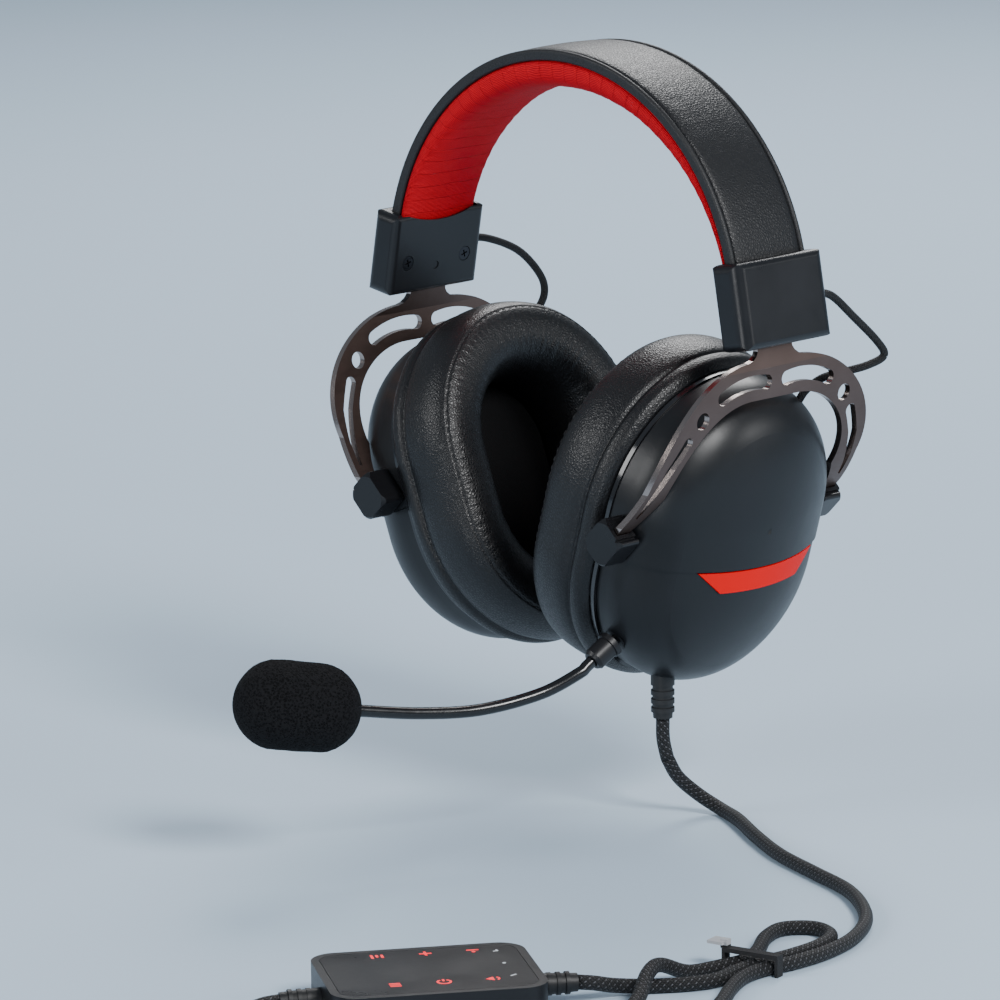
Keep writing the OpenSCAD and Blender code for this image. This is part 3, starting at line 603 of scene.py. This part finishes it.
# ---------- materials ----------
class Shade:
    """One node material. Each call adds nodes and returns a socket."""

    def __init__(self, name, rough=0.5, metal=0.0, **sockets):
        self.material = bpy.data.materials.new(name)
        self.material.use_nodes = True
        self.tree = self.material.node_tree
        self.surface = self.tree.nodes["Principled BSDF"]
        self.surface.inputs["Roughness"].default_value = rough
        self.surface.inputs["Metallic"].default_value = metal
        for key, value in sockets.items():
            self.surface.inputs[key.replace("_", " ")].default_value = value

    def node(self, kind, inputs=(), **settings):
        made = self.tree.nodes.new(kind)
        for key, value in settings.items():
            setattr(made, key, value)
        for key, value in dict(inputs).items():
            if isinstance(value, bpy.types.NodeSocket):
                self.tree.links.new(value, made.inputs[key])
            else:
                made.inputs[key].default_value = value
        return made

    def where(self, kind="Object"):
        return self.node("ShaderNodeTexCoord").outputs[kind]

    def scaled(self, socket, scale):
        return self.node("ShaderNodeVectorMath", {0: socket, 1: scale}, operation="MULTIPLY").outputs[0]

    def noise(self, scale, detail=3.0, rough=0.55, where=None):
        made = self.node("ShaderNodeTexNoise", {"Scale": scale, "Detail": detail, "Roughness": rough})
        self.tree.links.new(where or self.where(), made.inputs["Vector"])
        return made.outputs["Fac"]

    def cells(self, scale, where, feature="DISTANCE_TO_EDGE"):
        made = self.node("ShaderNodeTexVoronoi", {"Scale": scale}, feature=feature)
        self.tree.links.new(where, made.inputs["Vector"])
        return made.outputs["Distance"]

    def warped(self, amount, scale):
        shift = self.node("ShaderNodeTexNoise", {"Scale": scale, "Detail": 2.0})
        self.tree.links.new(self.where(), shift.inputs["Vector"])
        moved = self.scaled(shift.outputs["Color"], (amount,) * 3)
        return self.node("ShaderNodeVectorMath", {0: self.where(), 1: moved}, operation="ADD").outputs[0]

    def math(self, operation, a, b=0.0):
        return self.node("ShaderNodeMath", {0: a, 1: b}, operation=operation).outputs[0]

    def span(self, value, low, high, to_low=0.0, to_high=1.0):
        return self.node("ShaderNodeMapRange", {
            "Value": value, "From Min": low, "From Max": high, "To Min": to_low, "To Max": to_high,
        }).outputs["Result"]

    def blend(self, factor, a, b):
        first = a if isinstance(a, bpy.types.NodeSocket) else (*a, 1)
        second = b if isinstance(b, bpy.types.NodeSocket) else (*b, 1)
        mix = self.node("ShaderNodeMixRGB", {"Fac": factor, "Color1": first, "Color2": second})
        return mix.outputs["Color"]

    def colour(self, socket):
        self.tree.links.new(socket, self.surface.inputs["Base Color"])

    def gloss(self, socket):
        self.tree.links.new(socket, self.surface.inputs["Roughness"])

    def bump(self, height, depth, strength=1.0, under=None):
        made = self.node("ShaderNodeBump", {"Height": height, "Distance": depth, "Strength": strength})
        if under:
            self.tree.links.new(under, made.inputs["Normal"])
        return made.outputs["Normal"]

    def relief(self, *layers):
        """Layers of (height, depth in metres), stacked."""
        normal = None
        for height, depth in layers:
            normal = self.bump(height, depth, under=normal)
        self.tree.links.new(normal, self.surface.inputs["Normal"])


def moulded(name, dark, light, rough, grain=2600, depth=0.00002, coat=0.0, shine=0.36):
    """Injection-moulded plastic with a fine spark-eroded texture and faint handling marks."""
    s = Shade(name, Coat_Weight=coat, Coat_Roughness=0.12, Specular_IOR_Level=shine)
    s.colour(s.blend(s.noise(60, 4), dark, light))
    smear = s.noise(38, 5, 0.65)
    s.gloss(s.span(smear, 0.3, 0.7, rough - 0.05, rough + 0.07))
    s.relief((s.noise(grain, 2), depth), (s.noise(25, 2), depth * 4))
    return s.material


def leather(name, dark, light, scale=1150, depth=0.00005, rough=0.36):
    """Pebble-grained leatherette: rounded cells with narrow valleys that get painted shade, over slow
    wrinkles.
    """
    s = Shade(name, Specular_IOR_Level=0.45)
    where = s.warped(0.0011, 420)
    pebble = s.span(s.cells(scale, where), 0.0, 0.32)
    fine = s.cells(scale * 2.3, where)
    valley = s.span(pebble, 0.0, 0.5)
    tone = s.blend(s.noise(34, 4), dark, light)
    # Painted shade: the grain valleys are darkened to half the dark tone.
    s.colour(s.blend(valley, tuple(c * 0.5 for c in dark), tone))
    s.gloss(s.span(valley, 0.0, 1.0, rough + 0.2, rough))
    s.relief((pebble, depth), (fine, depth * 0.3), (s.noise(75, 2, 0.45), depth * 1.2))
    return s.material


def knit(name, dark, light):
    """Red spacer mesh: rows of small holes between crossing threads, with painted shade in the holes and in
    the rib grooves.
    """
    s = Shade(name, rough=0.9, Specular_IOR_Level=0.2)
    uv = s.node("ShaderNodeSeparateXYZ", {0: s.where("UV")})
    u = s.math("MULTIPLY", uv.outputs[0], 2 * math.pi / 1.15)
    v = s.math("MULTIPLY", uv.outputs[1], 2 * math.pi / 1.0)
    one = s.math("SINE", s.math("ADD", u, v))
    two = s.math("SINE", s.math("SUBTRACT", u, v))
    both = s.math("MULTIPLY", one, two)
    thread = s.span(both, -0.75, 0.35)
    fuzz = s.noise(900, 4, 0.7)
    drift = s.math("MULTIPLY", s.noise(60, 2), 1.5)
    along = s.math("MULTIPLY", uv.outputs[1], math.pi / 5.4)
    rib = s.span(s.math("ABSOLUTE", s.math("SINE", s.math("ADD", along, drift))), 0.0, 0.12)
    tone = s.blend(s.noise(45, 4), dark, light)
    # Painted shade: the rib grooves are darkened to 0.72 of the dark red.
    tone = s.blend(rib, tuple(c * 0.72 for c in dark), tone)
    # Painted shade: the holes between threads are darkened to 0.34 of the dark red.
    s.colour(s.blend(thread, tuple(c * 0.34 for c in dark), tone))
    s.relief((rib, 0.00012), (thread, 0.00022), (fuzz, 0.00012))
    return s.material


def braid(name, dark, light, pitch=2.3):
    """Braided sleeve: crossing strands with painted shade between them, and a pale tracer fleck here and
    there. UV x counts strands.
    """
    s = Shade(name, rough=0.55, Specular_IOR_Level=0.4)
    uv = s.node("ShaderNodeSeparateXYZ", {0: s.where("UV")})
    u = s.math("MULTIPLY", uv.outputs[0], math.pi)
    v = s.math("MULTIPLY", uv.outputs[1], math.pi / pitch * 2)
    one = s.math("SINE", s.math("ADD", u, v))
    two = s.math("SINE", s.math("SUBTRACT", u, v))
    weave = s.math("MULTIPLY", one, two)
    height = s.span(s.math("ABSOLUTE", weave), 0.0, 0.8)
    crossing = s.math("MULTIPLY", s.math("GREATER_THAN", one, 0.82), s.math("GREATER_THAN", two, 0.1))
    fleck = s.span(crossing, 0, 1)
    # Painted shade: the gaps between strands are darkened to 0.3 of the strand colour.
    tone = s.blend(height, tuple(c * 0.3 for c in dark), dark)
    s.colour(s.blend(fleck, tone, light))
    s.relief((height, 0.00022), (s.noise(1800, 2), 0.00005))
    return s.material


def anodised(name, face_a, face_b, edge):
    """Brown anodised sheet whose edges get a lighter colour, a painted reflection. The sheet's face looks
    away from the roll's axis.
    """
    s = Shade(name, metal=1.0)
    place = s.node("ShaderNodeSeparateXYZ", {0: s.where()})
    out = s.math("SUBTRACT", s.math("ABSOLUTE", place.outputs[0]), 12.3 * MM)
    rise = s.math("MAXIMUM", s.math("ADD", place.outputs[2], 81 * MM), -0.1)
    spoke = s.node("ShaderNodeCombineXYZ", {0: out, 1: 0.0, 2: rise}).outputs[0]
    spoke = s.node("ShaderNodeVectorMath", {0: spoke}, operation="NORMALIZE").outputs[0]
    normal = s.node("ShaderNodeSeparateXYZ", {0: s.where("Normal")})
    flip = s.math("MULTIPLY", normal.outputs[0], s.math("SIGN", place.outputs[0]))
    turned = s.node("ShaderNodeCombineXYZ", {0: flip, 1: normal.outputs[1], 2: normal.outputs[2]}).outputs[0]
    facing = s.node("ShaderNodeVectorMath", {0: spoke, 1: turned}, operation="DOT_PRODUCT").outputs["Value"]
    edge_sheen = s.math("LESS_THAN", s.math("ABSOLUTE", facing), 0.62)
    grain = s.noise(1500, 3, 0.6, s.scaled(s.where(), (1, 0.12, 1)))
    tone = s.blend(s.span(s.noise(50, 3), 0.3, 0.7), face_a, face_b)
    # Painted reflection: the edge faces get the lighter edge colour and a lower roughness.
    s.colour(s.blend(edge_sheen, tone, edge))
    s.gloss(s.blend(edge_sheen, s.span(grain, 0.2, 0.8, 0.40, 0.52), (0.2, 0.2, 0.2)))
    s.relief((grain, 0.00002))
    return s.material


def metal(name, tone, rough):
    """Plain metal with fine scratches along y."""
    s = Shade(name, metal=1.0)
    lines = s.noise(900, 3, 0.6, s.scaled(s.where(), (1, 0.2, 1)))
    s.colour(s.blend(lines, tuple(c * 0.75 for c in tone), tone))
    s.gloss(s.span(lines, 0.2, 0.8, rough - 0.06, rough + 0.1))
    s.relief((lines, 0.00001))
    return s.material


def rubber(name, dark, light, rough=0.55, coat=0.0):
    """Rubber or thread: dull, with a fine bloom."""
    s = Shade(name, Coat_Weight=coat, Coat_Roughness=0.08)
    s.colour(s.blend(s.noise(90, 4), dark, light))
    s.gloss(s.span(s.noise(160, 4), 0.3, 0.7, rough - 0.06, rough + 0.08))
    s.relief((s.noise(1400, 2), 0.00002))
    return s.material


def foam_shade(name):
    """Open-cell foam: pores between thin walls, with painted shade in the pores."""
    s = Shade(name, rough=1.0, Specular_IOR_Level=0.15)
    where = s.warped(0.0008, 700)
    pores = s.span(s.cells(1250, where, "F1"), 0.1, 0.62)
    # Painted shade: the pores are darkened well below the walls' colour.
    s.colour(s.blend(pores, (0.0008, 0.0008, 0.001), (0.009, 0.009, 0.010)))
    s.relief((pores, 0.00035), (s.noise(420, 4, 0.7), 0.00035))
    return s.material


def cloth(name, dark, light):
    """Fine plain weave in the object's own space."""
    s = Shade(name, rough=0.95, Specular_IOR_Level=0.2)
    place = s.node("ShaderNodeSeparateXYZ", {0: s.where()})
    pitch = 0.7 * MM
    a = s.math("SINE", s.math("MULTIPLY", place.outputs[1], 2 * math.pi / pitch))
    b = s.math("SINE", s.math("MULTIPLY", place.outputs[2], 2 * math.pi / pitch))
    weave = s.span(s.math("MULTIPLY", a, b), -1, 1)
    s.colour(s.blend(weave, dark, light))
    s.relief((weave, 0.00012))
    return s.material


def tie_shade(name):
    """Looped strap fabric, with its tab in silver grey."""
    s = Shade(name, rough=0.8)
    place = s.node("ShaderNodeSeparateXYZ", {0: s.where()})
    tab = s.math("GREATER_THAN", place.outputs[2], (DESK + 7.3) * MM)
    fuzz = s.noise(1500, 4, 0.7)
    strap = s.blend(fuzz, (0.004, 0.004, 0.005), (0.018, 0.018, 0.02))
    s.colour(s.blend(tab, strap, (0.42, 0.43, 0.45)))
    s.relief((fuzz, 0.00025))
    return s.material


def glow(name, colour, strength):
    """A lit marking."""
    s = Shade(name, rough=0.4, Emission_Strength=strength)
    s.surface.inputs["Emission Color"].default_value = (*colour, 1)
    s.colour(s.blend(s.noise(900, 2), tuple(c * 0.8 for c in colour), colour))
    return s.material


SATIN = moulded("satin_black", (0.0055, 0.006, 0.0075), (0.0085, 0.009, 0.011), 0.31)
SHELL = moulded("shell_black", (0.0055, 0.006, 0.007), (0.008, 0.0085, 0.010), 0.34, grain=3200)
CAP = moulded("cap_black", (0.005, 0.005, 0.006), (0.008, 0.008, 0.0095), 0.28)
INNER = moulded("inner_black", (0.007, 0.007, 0.008), (0.011, 0.011, 0.013), 0.38)
SLIP = moulded("acetal", (0.62, 0.61, 0.57), (0.7, 0.69, 0.65), 0.35)
RED = moulded("badge_red", (0.74, 0.0, 0.002), (0.84, 0.0, 0.003), 0.42, grain=1800, shine=0.08)
GLOSS = moulded("gloss_ring", (0.006, 0.006, 0.007), (0.010, 0.010, 0.012), 0.12, depth=0.000004, coat=0.6)
BOX = moulded("box_black", (0.0045, 0.0045, 0.0055), (0.007, 0.007, 0.0085), 0.36)
PANEL = moulded("touch_glass", (0.004, 0.004, 0.005), (0.006, 0.006, 0.0075), 0.3, depth=0.000006)
BOARD = moulded("solder_mask", (0.01, 0.10, 0.04), (0.015, 0.14, 0.06), 0.4)
COVER = leather(
    "cover_leather", (0.0055, 0.0055, 0.0065), (0.0085, 0.0085, 0.010), scale=950, depth=0.00006, rough=0.38
)
BINDING = leather(
    "edge_binding", (0.009, 0.009, 0.010), (0.014, 0.014, 0.016), scale=1500, depth=0.00003, rough=0.46
)
CUSHION = leather(
    "cushion_leather", (0.004, 0.004, 0.0048), (0.0065, 0.0065, 0.0078),
    scale=1000, depth=0.00006, rough=0.33,
)
MESH = knit("pad_mesh", (0.74, 0.001, 0.010), (0.92, 0.004, 0.022))
SLEEVE = braid("cord_braid", (0.007, 0.007, 0.008), (0.10, 0.10, 0.11))
LINK = braid("link_braid", (0.006, 0.006, 0.007), (0.014, 0.014, 0.016), pitch=1.8)
# The last colour, for the yoke's edges, is a painted reflection.
BRONZE = anodised("bronze_anodised", (0.118, 0.083, 0.072), (0.152, 0.108, 0.094), (0.36, 0.30, 0.275))
STEEL = metal("plain_steel", (0.56, 0.57, 0.6), 0.32)
SCREW = metal("dark_screw", (0.045, 0.045, 0.05), 0.3)
PLATED = metal("plated", (0.78, 0.78, 0.8), 0.2)
SOFT = rubber("relief_rubber", (0.005, 0.005, 0.0055), (0.008, 0.008, 0.009), rough=0.5)
BOOM_SKIN = rubber("boom_rubber", (0.0025, 0.0025, 0.003), (0.004, 0.004, 0.0045), rough=0.24, coat=0.25)
THREAD = rubber("seam_thread", (0.012, 0.012, 0.013), (0.022, 0.022, 0.024), rough=0.5)
FOAM = foam_shade("windscreen_foam")
CLOTH = cloth("ear_cloth", (0.002, 0.002, 0.0022), (0.008, 0.008, 0.009))
TIE = tie_shade("tie_strap")
RED_GLOW = glow("red_glow", (1.0, 0.008, 0.02), 1.3)
PALE_GLOW = glow("pale_glow", (0.55, 0.58, 0.62), 0.4)


def dress(material, *names):
    """Gives CAD nodes a material; a name stands for its left and right nodes too."""
    for name in names:
        for found in [n for n in nodes if n == name or n in (f"{name}_left", f"{name}_right")]:
            data = nodes[found].data
            if not data.materials:
                data.materials.append(material)
            for slot in nodes[found].material_slots:
                slot.material = material


def paint(piece, material):
    piece.data.materials.append(material)


dress(SATIN, "housing", "housing_plate")
dress(CAP, "pivot_caps")
dress(SHELL, "upper_shell", "lower_shell")
dress(INNER, "baffle", "driver_frame", "mic_socket", "mic_capsule", "mic_plug", "usb_plug")
dress(SLIP, "detents")
dress(RED, "badge")
dress(GLOSS, "chassis_ring")
dress(BOX, "box_bottom", "box_top")
dress(PANEL, "touch_panel")
dress(BOARD, "box_board")
dress(BINDING, "headband_piping")
dress(BRONZE, "yoke")
dress(STEEL, "headband_spring", "pivot_pins")
dress(SCREW, "housing_screws", "cup_screws")
dress(PLATED, "driver_magnet", "usb_shell")
dress(SOFT, "cord_gland", "box_glands")
dress(CLOTH, "ear_cloth")
dress(TIE, "cord_tie")

paint(cover_skin, COVER)
paint(pad_cover, MESH)
paint(boom, BOOM_SKIN)
paint(foam_windscreen, FOAM)
paint(red_symbols, RED_GLOW)
paint(pale_marks, PALE_GLOW)
for cord in (main_cord, hanging_cord, usb_cord):
    paint(cord, SLEEVE)
for side in SIGN:
    paint(cushions[side], CUSHION)
    paint(threads[side], THREAD)
    for piece in links[side][:2]:
        paint(piece, LINK)


for piece, replaced in ((cover_skin, "headband_cover"), (pad_cover, "headband_pad")):
    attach(piece, "headband")
    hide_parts(replaced)
for piece in (red_symbols, pale_marks, usb_cord):
    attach(piece, "headband")
for side in SIGN:
    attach(cushions[side], f"{side}_cup")
    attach(threads[side], f"{side}_cup")
    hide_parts(f"ear_cushion_{side}")
    upper, lower, line = links[side]
    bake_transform(upper)
    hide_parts(f"link_upper_{side}")
    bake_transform(lower)
    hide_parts(f"link_lower_{side}")
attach(foam_windscreen, "mic_tip")
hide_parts("windscreen")
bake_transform(boom)
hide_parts("mic_boom_lower", "mic_boom_upper")
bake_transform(hanging_cord)
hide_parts("cord_hanging")
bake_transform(main_cord)
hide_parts("cord_on_desk")
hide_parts("usb_cord", "usb_coil", "usb_lead")

print("cord lengths", round(line_length(main_line), 4), round(line_length(usb_line), 4))


# ---------- floor and light ----------
def add_floor():
    half = 8.0
    level = DESK * MM
    corners = [(-half, -half, level), (half, -half, level), (half, half, level), (-half, half, level)]
    floor = make_object("floor", corners, [(0, 1, 2, 3)], smooth=False)
    s = Shade("pale_floor", rough=0.85)
    s.colour(s.blend(s.noise(3, 3), (0.50, 0.63, 0.76), (0.52, 0.65, 0.78)))
    floor.data.materials.append(s.material)


def add_light(name, place, aim, size, power):
    data = bpy.data.lights.new(name, "AREA")
    data.shape = "DISK"
    data.size = size
    data.energy = power
    light = bpy.data.objects.new(name, data)
    light.location = place
    light.rotation_euler = (Vector(aim) - Vector(place)).to_track_quat("-Z", "Y").to_euler()
    bpy.context.scene.collection.objects.link(light)


def add_world(colour, strength):
    world = bpy.data.worlds.new("studio")
    world.use_nodes = True
    sky = world.node_tree.nodes["Background"]
    sky.inputs["Color"].default_value = (*colour, 1)
    sky.inputs["Strength"].default_value = strength
    bpy.context.scene.world = world


# Name, place, aim, size (metres) and power (watts)
MID_HEADSET = (0, 0, -0.12)
LIGHTS = (
    ("key", (1.6, -0.35, 1.15), MID_HEADSET, 0.7, 36),
    ("fill", (-0.9, -1.9, 0.9), MID_HEADSET, 1.0, 19),
    ("low", (0.75, -1.75, -0.02), (-0.03, 0, -0.06), 0.6, 7),
    ("back", (-0.9, 1.3, 1.2), MID_HEADSET, 1.0, 26),
    ("side", (1.7, 1.0, 0.5), MID_HEADSET, 0.7, 8),
)

add_floor()
for light in LIGHTS:
    add_light(*light)
add_world((0.72, 0.85, 1.0), 0.32)
